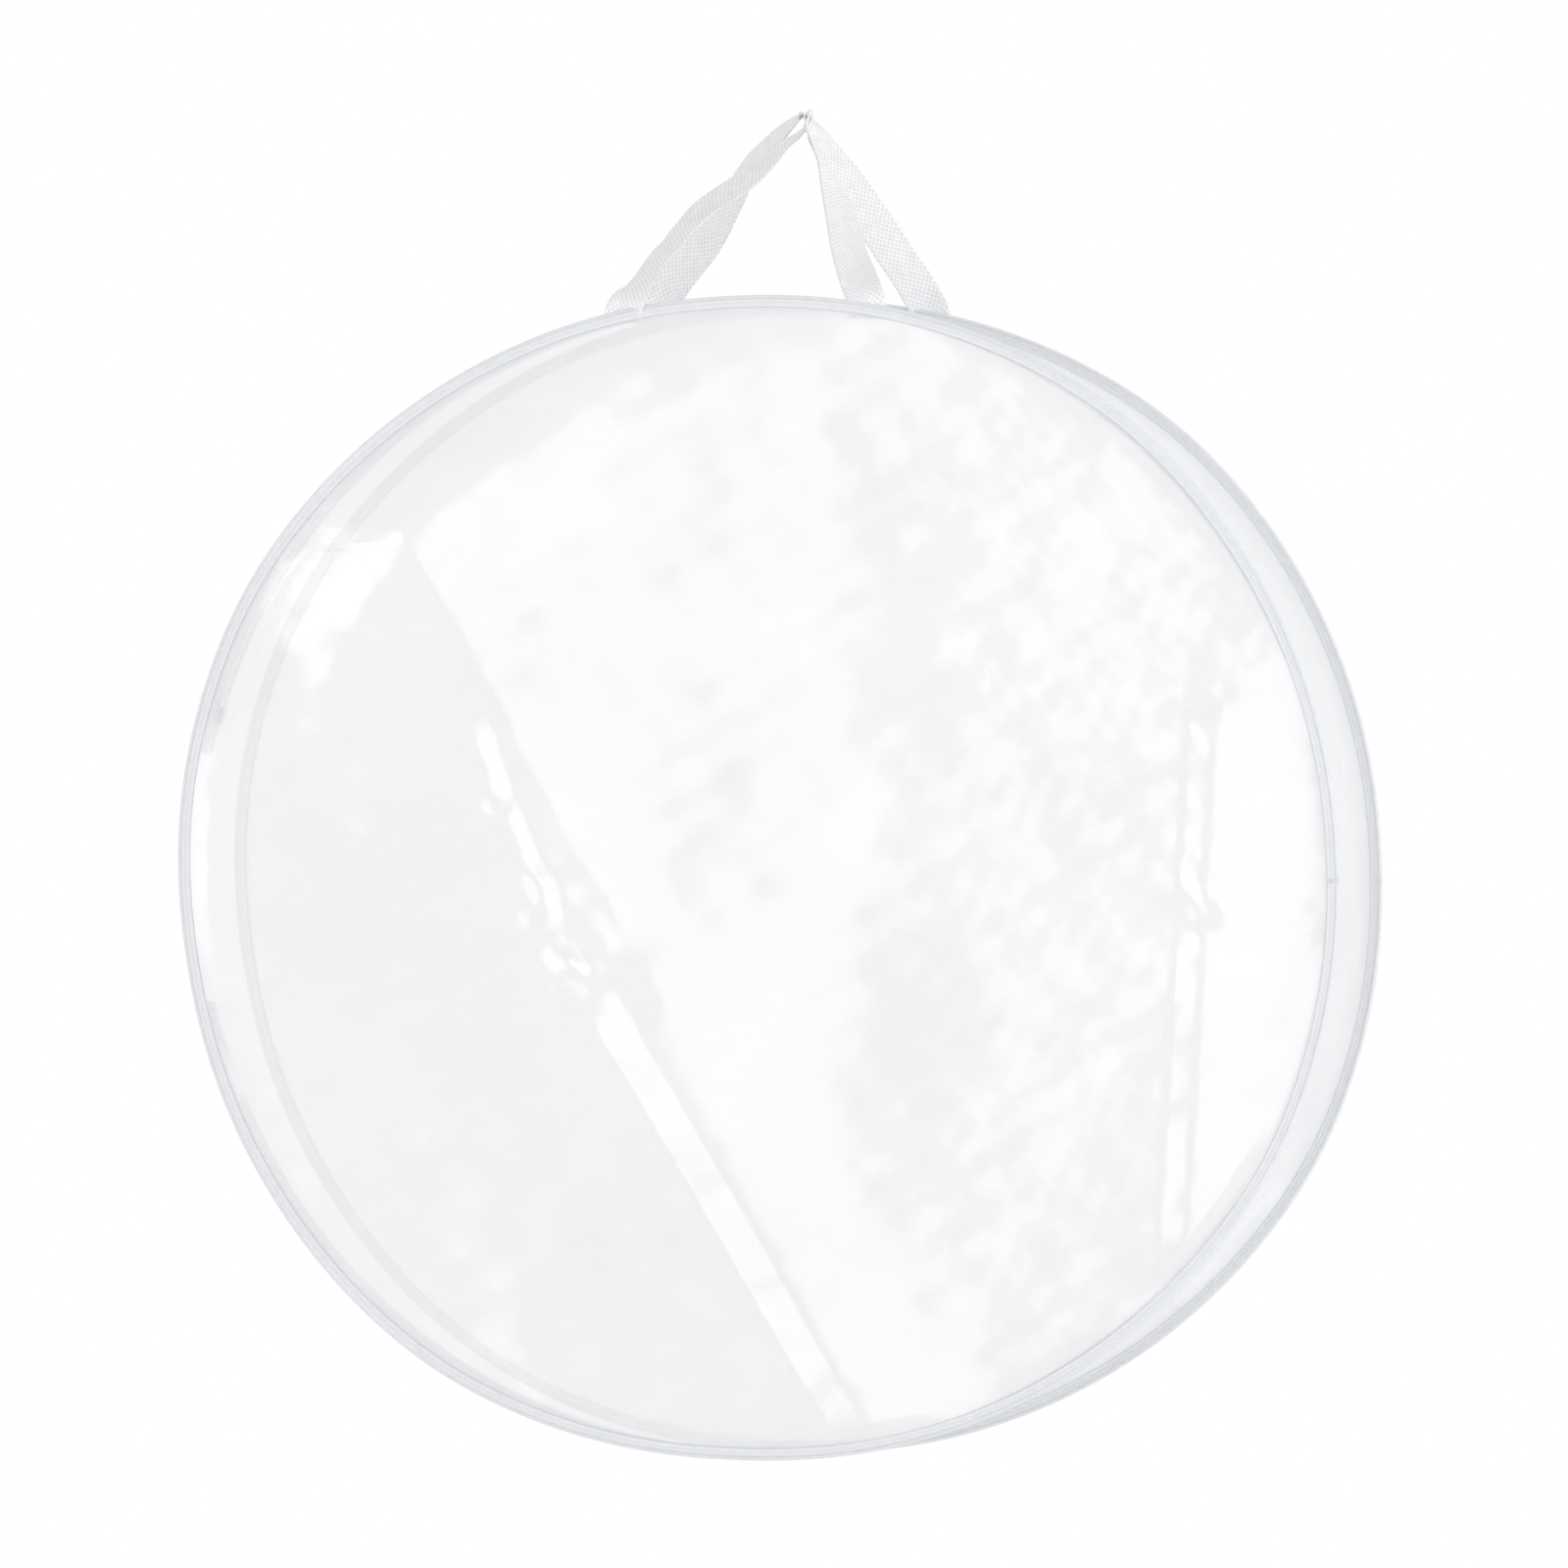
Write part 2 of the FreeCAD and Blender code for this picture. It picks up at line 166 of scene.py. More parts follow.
def woven(name, light, dark_and_gap_shade, across_pitch, along_pitch, depth, blue=0.02):
    """Woven cloth: yarns from the strip's coordinates, uneven yarn tones, painted shade between the yarns,
    fuzz and a soft sheen.
    """
    shader = new_shader(name)
    yarns = yarn_grid(shader, across_pitch, along_pitch)
    uneven = shader.noise(160, 4)
    # The colour darkens where the yarns are low: painted shade between the yarns, on top of random yarn tone.
    tone = shader.math("ADD", shader.math("MULTIPLY", yarns, 0.7), shader.math("MULTIPLY", uneven, 0.6))
    colour = shader.blend(shader.spread(tone, 0.25, 1.0, 0.0, 1.0), grey(dark_and_gap_shade, blue), grey(light, blue))
    fuzz = shader.bump(shader.noise(2600, 2), mm(0.1), 0.35)
    normal = shader.bump(yarns, depth, 0.9, fuzz)
    cloth = shader.add("BsdfPrincipled", {
        "Base Color": colour, "Roughness": 0.75, "Normal": normal, "Specular IOR Level": 0.25,
        "Sheen Weight": 0.12, "Sheen Roughness": 0.4})
    return shader.finish(cloth.outputs[0])


def film_material(name, milkiness):
    """Hazy glossy vinyl film, with painted highlight streaks in its colour. Milkiness is the share of light
    that it scatters instead of letting through.
    """
    shader = new_shader(name)
    dull = (0.828, 0.831, 0.836, 1)
    highlight_bright = (0.862, 0.864, 0.867, 1)
    facing = shader.add("LayerWeight", {"Blend": 0.5}).outputs["Facing"]
    slant = shader.math("POWER", facing, 3.0)
    cloud = shader.noise(9, 4)
    haze = shader.math("MULTIPLY_ADD", cloud, 0.10, milkiness - 0.05)
    cover = shader.math("MINIMUM", shader.math("MULTIPLY_ADD", slant, 0.08, haze), 0.97)
    # Brighter upright streaks in the colour are painted highlight, standing in for the sheet's streaky
    # reflections.
    highlight_streaks = shader.noise(5.5, 5, stretch=(1.0, 1.0, 2.4), rough=0.6)
    colour = shader.blend(shader.spread(highlight_streaks, 0.35, 0.68, 0.0, 1.0), dull, highlight_bright)
    wrinkles = shader.noise(60, 4, stretch=(0.35, 1.0, 1.6), rough=0.55)
    grain = shader.bump(shader.noise(900, 2), mm(0.04), 0.5)
    normal = shader.bump(wrinkles, mm(0.5), 0.5, grain)
    gloss = shader.spread(cloud, 0.3, 0.7, 0.10, 0.15)
    solid = shader.add("BsdfPrincipled", {
        "Base Color": colour, "Roughness": gloss, "Normal": normal, "Specular IOR Level": 1.0, "IOR": 1.6,
        "Coat Weight": 0.8, "Coat Roughness": 0.08, "Coat Normal": normal})
    glow = shader.add("BsdfTranslucent", {"Color": colour, "Normal": normal})
    milky = shader.add("MixShader", {0: 0.30, 1: solid.outputs[0], 2: glow.outputs[0]})
    through = shader.add("BsdfTransparent", {"Color": (0.985, 0.99, 1.0, 1)})
    mixed = shader.add("MixShader", {0: cover, 1: through.outputs[0], 2: milky.outputs[0]})
    return shader.finish(mixed.outputs[0])


def nylon_material(name, base):
    """Moulded nylon: satin, with tiny tone changes from tooth to tooth."""
    shader = new_shader(name)
    tone = shader.noise(420, 2)
    colour = shader.blend(tone, grey(base * 0.92, 0.01), grey(base * 1.04, 0.01))
    normal = shader.bump(shader.noise(3000, 2), mm(0.03), 0.5)
    rough = shader.spread(tone, 0.3, 0.7, 0.32, 0.45)
    nylon = shader.add("BsdfPrincipled", {"Base Color": colour, "Roughness": rough, "Normal": normal})
    return shader.finish(nylon.outputs[0])


def thread_material():
    """Twisted sewing thread, with painted shade in the twist's hollows."""
    shader = new_shader("thread")
    twist_and_groove_shade = shader.noise(2400, 2)
    # The colour darkens where the twist's bumps are low: painted shade in the hollows, with random tone.
    colour = shader.blend(twist_and_groove_shade, grey(0.62, 0.02), grey(0.80, 0.02))
    normal = shader.bump(twist_and_groove_shade, mm(0.08), 0.8)
    thread = shader.add("BsdfPrincipled", {
        "Base Color": colour, "Roughness": 0.6, "Normal": normal, "Sheen Weight": 0.1})
    return shader.finish(thread.outputs[0])


def enamel_material():
    """White enamel on a die casting, with fine orange peel and greyer rubbed spots."""
    shader = new_shader("slider_metal")
    rubbed = shader.spread(shader.noise(520, 5, rough=0.65), 0.56, 0.70, 0.0, 1.0)
    colour = shader.blend(rubbed, grey(0.74, 0.015), grey(0.52, 0.02))
    rough = shader.spread(rubbed, 0.0, 1.0, 0.24, 0.42)
    normal = shader.bump(shader.noise(1500, 2), mm(0.03), 0.6)
    enamel = shader.add("BsdfPrincipled", {
        "Base Color": colour, "Roughness": rough, "Normal": normal, "Coat Weight": 0.3,
        "Coat Roughness": 0.15})
    return shader.finish(enamel.outputs[0])


def floor_material(radius):
    """Pale seamless floor that fades out before its edge."""
    shader = new_shader("floor")
    place = shader.add("TexCoord").outputs["Object"]
    distance = shader.add("VectorMath", {0: place}, operation="LENGTH").outputs["Value"]
    fade = shader.spread(distance, radius * 0.12, radius * 0.85, 1.0, 0.0)
    tone = shader.blend(shader.noise(3, 3), grey(0.88), grey(0.92))
    matt = shader.add("BsdfPrincipled", {"Base Color": tone, "Roughness": 0.85, "Specular IOR Level": 0.2})
    clear = shader.add("BsdfTransparent")
    mixed = shader.add("MixShader", {0: fade, 1: clear.outputs[0], 2: matt.outputs[0]})
    return shader.finish(mixed.outputs[0])


FILM_LOOK = film_material("clear_film", milkiness=0.72)
REAR_LOOK = film_material("clear_film_rear", milkiness=0.55)
WALL_LOOK = film_material("clear_film_wall", milkiness=0.10)
BINDING_LOOK = woven("binding_tape", light=0.77, dark_and_gap_shade=0.65, across_pitch=mm(0.7), along_pitch=mm(0.55),
                     depth=mm(0.10), blue=0.055)
WEBBING_LOOK = woven("webbing", light=0.88, dark_and_gap_shade=0.68, across_pitch=mm(1.8), along_pitch=mm(1.9),
                     depth=mm(0.14))
ZIP_TAPE_LOOK = woven("zip_tape", light=0.88, dark_and_gap_shade=0.78, across_pitch=mm(0.8), along_pitch=mm(0.6),
                      depth=mm(0.08))
TEETH_LOOK = nylon_material("zip_teeth", base=0.84)
THREAD_LOOK = thread_material()
ENAMEL_LOOK = enamel_material()


# ---------------------------------------------------------------- mesh helpers

def link(item):
    bpy.context.scene.collection.objects.link(item)


def new_piece(name, points, faces, look, strip=None):
    """A mesh object. Strip is one (along, across) pair per vertex, in metres, for the weave."""
    mesh = bpy.data.meshes.new(name)
    mesh.from_pydata([tuple(point) for point in points], [], faces)
    mesh.materials.append(look)
    if strip is not None:
        layer = mesh.uv_layers.new(name="strip")
        corners = np.zeros(len(mesh.loops), np.int32)
        mesh.loops.foreach_get("vertex_index", corners)
        layer.data.foreach_set("uv", np.asarray(strip, np.float32)[corners].ravel())
    mesh.polygons.foreach_set("use_smooth", [True] * len(mesh.polygons))
    mesh.update()
    piece = bpy.data.objects.new(name, mesh)
    link(piece)
    return piece


def grid_faces(rows, columns, close_rows=False, close_columns=False):
    """Quads over a grid of vertices numbered row by row."""
    faces = []
    for row in range(rows if close_rows else rows - 1):
        below = (row + 1) % rows
        for column in range(columns if close_columns else columns - 1):
            beside = (column + 1) % columns
            faces.append((row * columns + column, row * columns + beside,
                          below * columns + beside, below * columns + column))
    return faces


# The limp rims stand a little outside or inside a true circle: direction in degrees, and millimetres out.
RIM_CORNERS = {2: 1.0, 28: 2.6, 50: 4.6, 70: 0.2, 92: -3.6, 122: 0.8, 151: 6.8, 172: 4.2, 188: 0.4,
               215: 1.4, 236: 3.4, 268: -4.2, 300: 1.4, 332: 6.4}
CHAIN_SHARE = 0.25                               # how much of that is left where the zip's teeth meet
CORNER_REACH = 10                                # degrees over which each corner is rounded, to each side
WHOLE_DEGREES = np.arange(361)


def rim_outline():
    """The rims' distance from a true circle at each whole degree."""
    straight = np.interp(WHOLE_DEGREES, list(RIM_CORNERS), list(RIM_CORNERS.values()), period=360)
    weights = np.hanning(2 * CORNER_REACH + 1)
    wrapped = np.concatenate((straight[-CORNER_REACH - 1:-1], straight, straight[1:CORNER_REACH + 1]))
    return mm(np.convolve(wrapped, weights / weights.sum(), "valid"))


RIM_OUTLINE = rim_outline()


def stand_out(angle, place):
    """How far anything sewn to the rims is off its true radius, at an angle and a place along Y."""
    outline = np.interp(np.degrees(angle) % 360, WHOLE_DEGREES, RIM_OUTLINE)
    sewn = HALF_BAND + mm(0.5)
    to_front = (CHAIN - place) / (CHAIN - FRONT - sewn)
    to_back = (place - CHAIN) / (BACK - CHAIN - sewn)
    near_rim = np.clip(np.maximum(to_front, to_back), 0, 1)
    return outline * (CHAIN_SHARE + (1 - CHAIN_SHARE) * near_rim)


def on_disc(radius, angle, place):
    """Point at a radius and angle about the discs' axis. Angle 0 points to +X, and grows towards +Z."""
    reach = radius + float(stand_out(angle, place))
    return Vector((reach * math.cos(angle), place, CENTRE + reach * math.sin(angle)))


def close_ends(faces, points, corners):
    """Add a flat face over the first and the last ring of a swept section."""
    faces.append(tuple(range(corners)))
    faces.append(tuple(reversed(range(len(points) - corners, len(points)))))


def swept_band(name, section, look, start=0.0, end=math.tau, step=mm(3.2), pucker=0.0):
    """A closed section of (radius, place along Y) pairs, carried round the disc's axis from start to end.

    Pucker is how much the section is pinched and widened along Y from step to step, as stitching does.
    """
    whole = end - start > math.tau - 1e-6
    count = max(8, round((end - start) * RIM / step))
    angles = [start + (end - start) * number / count for number in range(count if whole else count + 1)]
    middle = sum(place for _, place in section) / len(section)
    corners = len(section)
    lengths = [0.0]
    for number in range(1, corners):
        lengths.append(lengths[-1] + math.dist(section[number], section[number - 1]))
    points = []
    strip = []
    for number, angle in enumerate(angles):
        pinch = 1 + pucker * math.sin(number * 2.4) * math.sin(number * 0.37)
        for (radius, place), length in zip(section, lengths):
            points.append(on_disc(radius, angle, middle + (place - middle) * pinch))
            strip.append((angle * RIM, length))
    faces = grid_faces(len(angles), corners, close_rows=whole, close_columns=True)
    if not whole:
        close_ends(faces, points, corners)
    return new_piece(name, points, faces, look, strip)


def band_section(inner, outer, low, high, corner):
    """Flat tape lying round the axis, with rounded edges: a closed (radius, place) outline."""
    points = []
    corners = ((outer, high, 0), (inner, high, 90), (inner, low, 180), (outer, low, 270))
    for radius, place, turn in corners:
        centre_radius = radius - corner if radius == outer else radius + corner
        centre_place = place - corner if place == high else place + corner
        for part in range(4):
            angle = math.radians(turn + 30 * part)
            points.append((centre_radius + corner * math.cos(angle), centre_place + corner * math.sin(angle)))
    return points


def pill(length, width, height, sides=6, squareness=1.0):
    """Points and faces of a small bar along its own X, with rounded ends. Squareness makes them blunter."""
    rings = (-0.92, -0.6, 0.0, 0.6, 0.92)
    points = [(-length / 2, 0, 0)]
    for part in rings:
        swell = (1 - abs(part) ** (2 + squareness)) ** (0.5 / squareness)
        for side in range(sides):
            angle = math.tau * side / sides
            points.append((part * length / 2, width / 2 * swell * math.cos(angle),
                           height / 2 * swell * math.sin(angle)))
    points.append((length / 2, 0, 0))
    faces = [(0, 1 + (side + 1) % sides, 1 + side) for side in range(sides)]
    for ring in range(len(rings) - 1):
        for side in range(sides):
            here = 1 + ring * sides
            beside = (side + 1) % sides
            faces.append((here + side, here + beside, here + sides + beside, here + sides + side))
    last = len(points) - 1
    faces += [(last, last - sides + side, last - sides + (side + 1) % sides) for side in range(sides)]
    return np.array(points), faces


def repeated(name, shape, places, look):
    """One mesh of many copies of a small shape. Each place is (origin, x axis, y axis, z axis)."""
    points, faces = shape
    clouds = []
    all_faces = []
    for number, (origin, *axes) in enumerate(places):
        clouds.append(points @ np.array(axes) + np.array(origin))
        offset = number * len(points)
        all_faces += [tuple(index + offset for index in face) for face in faces]
    return new_piece(name, np.concatenate(clouds), all_faces, look)


def around(radius, place, start, end, pitch, out):
    """Places in a row round the axis. Out is the side that they face: "radial", or -1 or 1 along Y."""
    count = round((end - start) * radius / pitch)
    places = []
    for number in range(count):
        angle = start + (end - start) * (number + 0.5) / count
        origin = on_disc(radius, angle, place)
        along = Vector((-math.sin(angle), 0, math.cos(angle)))
        outward = Vector((math.cos(angle), 0, math.sin(angle)))
        if out != "radial":
            outward = Vector((0, out, 0))
        places.append((origin, along, outward.cross(along), outward))
    return places


STITCH = pill(length=mm(2.7), width=mm(0.5), height=mm(0.36))
STITCH_PITCH = mm(3.2)


# ---------------------------------------------------------------- film sheets

def ripples(x, z, seed, count, shortest, longest, flat=1.0):
    """Smooth random waves. Flat below 1 draws them out along X."""
    draw = random.Random(seed)
    total = np.zeros_like(x)
    for _ in range(count):
        turn = draw.uniform(0, math.pi)
        reach = math.tau / draw.uniform(shortest, longest)
        total += np.sin(reach * (x * flat * math.cos(turn) + z * math.sin(turn)) + draw.uniform(0, math.tau))
    return total / math.sqrt(count)


def creases(x, z, seed, count, shortest, longest):
    """Random flat facets with sharp edges, as in film that was folded away."""
    draw = random.Random(seed)
    total = np.zeros_like(x)
    for _ in range(count):
        turn = draw.uniform(0, math.pi)
        reach = draw.uniform(shortest, longest)
        phase = (x * math.cos(turn) + z * math.sin(turn)) / reach + draw.uniform(0, 1)
        total += np.abs(phase % 1 - 0.5) * 4 - 1
    return total / math.sqrt(count)


def soft_step(value):
    """0 below 0, 1 above 1, and smooth between."""
    share = np.clip(value, 0, 1)
    return share * share * (3 - 2 * share)


def spot(x, z, middle, reach):
    """1 in the middle of a patch and 0 well outside it. Reach is (half width, half height)."""
    return np.exp(-((x - middle[0]) / reach[0]) ** 2 - ((z - middle[1]) / reach[1]) ** 2)


def beside_line(x, z, start, end):
    """Share of the way along a line from start to end, and distance to its right-hand side."""
    reach = math.dist(start, end)
    run = ((end[0] - start[0]) / reach, (end[1] - start[1]) / reach)
    along = ((x - start[0]) * run[0] + (z - start[1]) * run[1]) / reach
    across = -(x - start[0]) * run[1] + (z - start[1]) * run[0]
    return along, across


def fade_ends(along, softness):
    """1 along a line and 0 beyond its ends."""
    return soft_step(along / softness) * soft_step((1 - along) / softness)


def long_fold(x, z, start, end, width, lift, fall):
    """A ramp that rises from a sharp line to lift at width, and falls away softly beyond."""
    along, across = beside_line(x, z, start, end)
    ramp = np.where(across < width, np.clip(across / width, 0, 1), np.exp(-((across - width) / fall) ** 2))
    return lift * ramp * fade_ends(along, 0.14)


VALLEY_SOFTNESS = mm(9)                          # how gently a wedge's valley levels out


def wedge(x, z, top, bottom, valley, slope, back):
    """A face that slopes down to the right, from a slanting crest to a soft upright valley at x = valley.

    The crest runs from top to bottom. Left of it the height falls to nothing over the distance back.
    """
    crest = top[0] + (bottom[0] - top[0]) * (z - top[1]) / (bottom[1] - top[1])
    peak = slope * np.clip(valley - crest, 0, None)
    face = np.minimum(slope * VALLEY_SOFTNESS * np.logaddexp(0, (valley - x) / VALLEY_SOFTNESS), peak)
    return np.where(x > crest, face, peak * np.clip(1 - (crest - x) / back, 0, 1))


def inside_rim(x, z, steepness):
    """0 at the rim, rising to 1 further in."""
    return soft_step((1 - (x * x + z * z) / SEAM ** 2) * steepness)


# The front film's crumpled patches: middle, then half width and half height, from the disc's centre.
CRUMPLED_PATCHES = (
    ((-0.118, -0.056), (0.026, 0.020)),
    ((-0.141, -0.013), (0.014, 0.022)),
    ((-0.176, 0.050), (0.013, 0.013)),
    ((0.290, -0.016), (0.018, 0.030)),
    ((0.300, 0.110), (0.012, 0.015)))


def front_height(x, z):
    """How far the front film stands out of its plane, towards the viewer. X and z from its centre."""
    height = mm(0.7) * ripples(x, z, seed=11, count=9, shortest=0.16, longest=0.42)
    height += mm(0.30) * creases(x, z, seed=5, count=7, shortest=0.07, longest=0.19)
    # The broad facet across the middle, which runs out before the rim.
    valley = 0.062 + 0.014 * np.sin(11 * z + 1.0) + 0.005 * np.sin(39 * z)
    facet = wedge(x, z, (-0.252, 0.260), (0.065, -0.300), valley, slope=0.042, back=0.150)
    height += inside_rim(x, z, 3.0) * facet
    # The slanting fold at the lower left, the finer one above it, and the upright one at the right.
    height += long_fold(x, z, (-0.124, -0.066), (0.108, -0.461), width=mm(25), lift=mm(5.0), fall=mm(45))
    height += long_fold(x, z, (-0.190, 0.105), (-0.120, -0.070), width=mm(12), lift=mm(1.3), fall=mm(25))
    height += long_fold(x, z, (0.286, 0.165), (0.255, -0.400), width=mm(19), lift=mm(3.7), fall=mm(42))
    # Crumpled patches along the folds.
    crumple = creases(x, z, seed=21, count=4, shortest=0.022, longest=0.050)
    for middle, reach in CRUMPLED_PATCHES:
        height += mm(1.4) * crumple * spot(x, z, middle, reach)
    # Fine wrinkles: denser and nearly level on the right, faint elsewhere.
    right_side = 1 / (1 + np.exp(-(x - 0.10) / 0.03))
    level = ripples(x, z, seed=31, count=12, shortest=0.014, longest=0.040, flat=0.22)
    height += mm(0.12) * right_side * level
    finer = ripples(x, z, seed=35, count=12, shortest=0.010, longest=0.026, flat=0.8)
    height += mm(0.06) * right_side * finer
    height += mm(0.07) * ripples(x, z, seed=33, count=12, shortest=0.020, longest=0.050, flat=0.5)
    height += mm(0.16) * creases(x, z, seed=37, count=6, shortest=0.022, longest=0.060)
    return height


def rear_height(x, z):
    """How far the rear film stands out of its plane, away from the bag's inside."""
    height = mm(1.1) * ripples(x, z, seed=41, count=9, shortest=0.15, longest=0.40)
    height += mm(0.4) * creases(x, z, seed=43, count=7, shortest=0.08, longest=0.20)
    facet = wedge(x, z, (-0.160, 0.290), (0.080, -0.310), valley=0.120, slope=0.030, back=0.170)
    height += inside_rim(x, z, 2.2) * facet
    height += long_fold(x, z, (0.080, 0.210), (-0.040, -0.180), width=mm(20), lift=mm(3.4), fall=mm(40))
    crumple = creases(x, z, seed=47, count=6, shortest=0.015, longest=0.034)
    height += mm(0.9) * crumple * spot(x, z, (0.05, 0.12), (0.03, 0.04))
    height += mm(0.20) * ripples(x, z, seed=45, count=12, shortest=0.018, longest=0.045, flat=0.4)
    return height


POCKET = HALF_BAND - mm(0.7)                     # from a rim's middle to the inside of its binding
FINE_UNTIL = -0.925                              # the grid is finer left of this, where the lid folds
HELD_FLAT = mm(16)                               # how far in from the seam the binding holds the film flat


def disc_film(name, place, outward, height_at, look):
    """A round sheet on a square grid drawn out to a circle, with finer columns by the fold."""
    # u and v run from -1 to 1 over the square; across and up do over the circle.
    rows = np.linspace(-1, 1, 231)
    columns = np.concatenate((np.linspace(-1, FINE_UNTIL, 26)[:-1], np.linspace(FINE_UNTIL, 1, 223)))
    u, v = np.meshgrid(columns, rows)
    across = u * np.sqrt(1 - v * v / 2)
    up = v * np.sqrt(1 - u * u / 2)
    radius = np.sqrt(across ** 2 + up ** 2)
    angle = np.arctan2(up, across)
    held = soft_step((1 - radius) * SEAM / HELD_FLAT)
    wave = stand_out(angle, place) * radius ** 6
    x = across * SEAM + np.cos(angle) * wave
    z = up * SEAM + np.sin(angle) * wave
    y = place + outward * held * height_at(x, z)
    points = np.stack((x, y, z + CENTRE), axis=-1).reshape(-1, 3)
    return new_piece(name, points, grid_faces(len(rows), len(columns)), look)


def across_fold(piece):
    """Bake a piece's placement into its mesh."""
    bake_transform(piece)


def disc_films():
    """The front and the back disc."""
    front = disc_film("front_film", FRONT - POCKET + FILM / 2, -1, front_height, FILM_LOOK)
    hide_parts("front_panel", "front_panel_edge")
    across_fold(front)

    rear = disc_film("rear_film", BACK + POCKET - FILM / 2, 1, rear_height, REAR_LOOK)
    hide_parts("rear_panel")
    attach(rear, "bag")


def wall_film():
    """The side wall: a strip bent to a ring. It reaches the front binding only beside the fold."""
    steps_round = 760
    steps_across = 34
    back_edge = BACK - POCKET + FILM
    hinge_front = FRONT + POCKET - FILM
    hinge_half = math.acos(-FOLD / WALL)
    angles = np.linspace(0, math.tau, steps_round, endpoint=False)
    from_hinge = np.abs(angles - math.pi)
    step = np.clip((from_hinge - hinge_half) / math.radians(1.0), 0, 1)
    front_edge = hinge_front + (WALL_FRONT - hinge_front) * soft_step(step)
    turn, across = np.meshgrid(angles, np.linspace(0, 1, steps_across), indexing="ij")
    place = front_edge[:, None] + (back_edge - front_edge[:, None]) * across
    slack = soft_step((place - wall_tape_high.y) / mm(25)) * soft_step((back_edge - mm(4) - place) / mm(25))
    for sewn in (math.radians(0), math.radians(90), math.radians(180)):
        beside_seam = np.abs((turn + sewn) % math.tau - math.pi)
        slack *= soft_step((beside_seam - math.radians(2)) / math.radians(3))
    bulge = mm(1.1) * ripples(turn * WALL, place, seed=61, count=9, shortest=0.07, longest=0.30) - mm(0.8)
    bulge += mm(0.35) * creases(turn * WALL, place, seed=63, count=6, shortest=0.03, longest=0.09)
    radius = WALL_MIDDLE + slack * bulge + stand_out(turn, place)
    points = np.stack((radius * np.cos(turn), place, CENTRE + radius * np.sin(turn)), axis=-1)
    faces = grid_faces(steps_round, steps_across, close_rows=True)
    wall = new_piece("wall_film", points.reshape(-1, 3), faces, WALL_LOOK)
    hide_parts("gusset_wall")
    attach(wall, "bag")


# ---------------------------------------------------------------- bindings

STITCHED_IN = 0.90                               # share of the binding's half thickness left at the stitches
BINDING_LEGS = (                                 # (distance in from the rim, share of the half thickness)
    (mm(3.0), 0.97), (mm(4.2), STITCHED_IN), (mm(5.4), STITCHED_IN), (mm(6.6), 1.0), (mm(7.4), 1.03))


def binding_section(middle):
    """Tape folded over the seam: a rounded outer fold and two flat legs with a lip at the cut edge."""
    fold_radius = mm(1.5)
    cut_edge = WALL + mm(0.15)
    fold_inside = RIM - mm(0.8)
    points = []
    for part in range(13):
        angle = math.radians(-90 + 15 * part)
        radius = RIM - fold_radius + fold_radius * math.cos(angle)
        points.append((radius, middle + HALF_BAND * math.sin(angle)))
    for inward, reach in BINDING_LEGS:
        points.append((RIM - inward, middle + HALF_BAND * reach))
    points += [
        (cut_edge, middle + HALF_BAND * 0.9), (cut_edge, middle + POCKET), (fold_inside, middle + POCKET),
        (fold_inside, middle - POCKET), (cut_edge, middle - POCKET), (cut_edge, middle - HALF_BAND * 0.9)]
    for inward, reach in reversed(BINDING_LEGS):
        points.append((RIM - inward, middle - HALF_BAND * reach))
    return points


def bindings():
    """The tape over each rim, with a row of stitches on each of its sides."""
    stitch_radius = RIM - mm(4.8)
    stitch_side = HALF_BAND * STITCHED_IN + mm(0.08)
    for name, middle, nodes in (("front_binding_tape", FRONT, ("front_binding", "front_binding_edge")),
                                ("rear_binding_tape", BACK, ("rear_binding",))):
        tape = swept_band(name, binding_section(middle), BINDING_LOOK, pucker=0.05)
        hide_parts(*nodes)
        rows = []
        for side in (-1, 1):
            rows += around(stitch_radius, middle + side * stitch_side, 0, math.tau, STITCH_PITCH, side)
        stitches = repeated(name.replace("tape", "stitches"), STITCH, rows, THREAD_LOOK)
        for piece in (tape, stitches):
            if middle == FRONT:
                across_fold(piece)
            else:
                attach(piece, "bag")


# ---------------------------------------------------------------- webbing handles

WEBBING_WIDTH = mm(25)
WEBBING_THICKNESS = mm(1.5)
WEBBING_DISH = mm(0.5)                           # how far the middle stands out of a flat strap
OTHER_SIDE = mm(40)                              # shifts the weave on the strap's back

# Each handle's centre line from its left sewn end, over the hook, to its right one: millimetres across,
# along Y and up, and how many degrees the webbing is turned away from facing the front.
FRONT_ROUTE = [
    (-89, -154, -125, 0), (-88, -154, -119, 4), (-84, -152, -109, 26), (-79, -143, -100, 46),
    (-71, -123, -84, 50), (-64, -110, -73, 50), (-58, -97, -63, 50), (-49, -83, -51, 48), (-37, -67, -40, 48),
    (-24, -53, -29, 52), (-15, -41, -19, 58), (-8, -28, -9, 62), (-1, -18, -1, 68), (4, -10, 5, 80),
    (7, -7, 8, 90), (9, -9, 5, 94), (11, -18, -2, 97), (19, -35, -14, 97), (28, -50, -27, 86),
    (41, -81, -50, 58), (54, -117, -78, 40), (65, -142, -98, 22), (71, -153, -109, 6), (73, -154, -118, 2),
    (73, -154, -124, 0)]
REAR_ROUTE = [
    (-98, 20, -124, 0), (-97, 20, -117, 4), (-94, 20, -108, 12), (-89, 20, -97, 15), (-76, 18, -81, 16),
    (-67, 16, -71, 20), (-59, 14, -60, 28), (-52, 12, -49, 36), (-45, 10, -38, 44), (-39, 8, -27, 50),
    (-32, 7, -17, 54), (-22, 5, -7, 58), (-15, 4, 0, 62), (-5, 4, 9, 72), (0, 4, 12, 82), (3, 3, 14, 88),
    (5, 3, 12, 90), (7, 3, 7, 86), (10, 4, 0, 70), (18, 6, -13, 56), (29, 8, -29, 42), (48, 12, -59, 26),
    (58, 15, -75, 24), (68, 17, -90, 24), (77, 19, -105, 14), (82, 20, -115, 4), (84, 20, -123, 0)]


